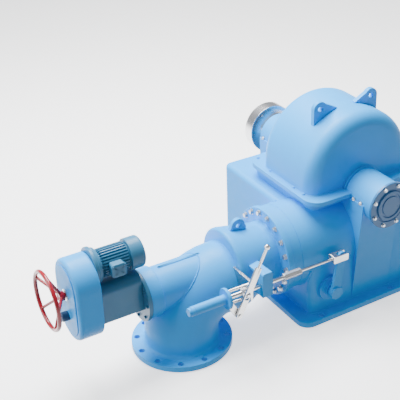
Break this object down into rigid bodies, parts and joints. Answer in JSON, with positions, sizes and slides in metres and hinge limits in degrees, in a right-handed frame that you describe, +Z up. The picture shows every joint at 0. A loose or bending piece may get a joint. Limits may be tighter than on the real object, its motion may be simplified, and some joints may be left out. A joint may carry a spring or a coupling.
{
  "type": "impulse water turbine",
  "caption": "Impulse water turbine with arched casing hood, flanged inlet bend, motor-driven needle nozzle with handwheel, deflector linkage and shaft coupling.",
  "frame": {"origin": "on the floor under the point where the shaft axis crosses the vertical plane of the jet", "axes": "+X along the jet from the inlet towards the casing, +Y along the shaft towards the coupling, +Z up"},
  "size_m": [1.9725, 1.039, 0.9796],
  "materials": {
    "blue_paint": "satin",
    "dark_blue_paint": "satin",
    "red_paint": "gloss",
    "bright_steel": "satin"
  },
  "bodies": {
    "frame": {"base_plate": "blue_paint", "lower_casing": "blue_paint", "nozzle_stub": "blue_paint", "hood": "blue_paint", "hood_lug_left": "blue_paint", "hood_lug_right": "blue_paint", "near_pedestal": "blue_paint", "far_pedestal": "blue_paint", "near_bearing_housing": "blue_paint", "near_bearing_cap": "dark_blue_paint", "far_bearing_housing": "blue_paint", "far_seal_ring": "dark_blue_paint", "inlet_flange": "blue_paint", "inlet_bend": "blue_paint", "nozzle_spool": "blue_paint", "spool_flange": "blue_paint", "spool_lug": "blue_paint", "needle_tube": "blue_paint", "tube_collar": "blue_paint", "gear_flange": "dark_blue_paint", "gear_housing": "dark_blue_paint", "gear_plate": "dark_blue_paint", "gear_cover": "blue_paint", "gear_cover_plate": "blue_paint", "spindle_boss": "dark_blue_paint", "handwheel_boss": "bright_steel", "motor_flange": "dark_blue_paint", "motor_body": "dark_blue_paint", "motor_fan_cover": "dark_blue_paint", "motor_terminal_box": "dark_blue_paint", "servo_barrel": "blue_paint", "barrel_flange": "blue_paint", "rod_yoke": "bright_steel", "rod_guide": "blue_paint", "crank_bearing": "blue_paint", "lever_bracket": "bright_steel"},
    "rotor": {"rotor_shaft": "bright_steel", "shaft_coupling": "bright_steel"},
    "handwheel": {"handwheel_hub": "red_paint", "handwheel_rim": "red_paint"},
    "deflector_rod": {"servo_rod": "bright_steel", "link_rod": "bright_steel", "rod_fork": "bright_steel"},
    "crank": {"deflector_crank": "blue_paint"},
    "lever": {"hand_lever": "bright_steel"}
  },
  "joints": [
    {"name": "shaft_spin", "type": "hinge", "parent": "frame", "child": "rotor", "pos_m": [0, 0, 0.565], "axis": [0, 1, 0], "continuous": true},
    {"name": "handwheel_spin", "type": "hinge", "parent": "frame", "child": "handwheel", "pos_m": [-1.477, 0, 0.457], "axis": [1, 0, 0], "continuous": true},
    {"name": "rod_slide", "type": "slide", "parent": "frame", "child": "deflector_rod", "axis": [1, 0, 0], "range_m": [-0.052, 0]},
    {"name": "crank_swing", "type": "hinge", "parent": "frame", "child": "crank", "pos_m": [-0.251, -0.25, 0.151], "axis": [0, 1, 0], "range_deg": [-15.4, 0]},
    {"name": "lever_swing", "type": "hinge", "parent": "frame", "child": "lever", "pos_m": [-0.79493, -0.279, 0.255], "axis": [0, 1, 0], "range_deg": [-31.4, 0]}
  ],
  "couplings": [
    {"joint": "crank_swing", "follows": "rod_slide", "rad_per_m": 5.1241},
    {"joint": "lever_swing", "follows": "rod_slide", "rad_per_m": 10.491}
  ]
}
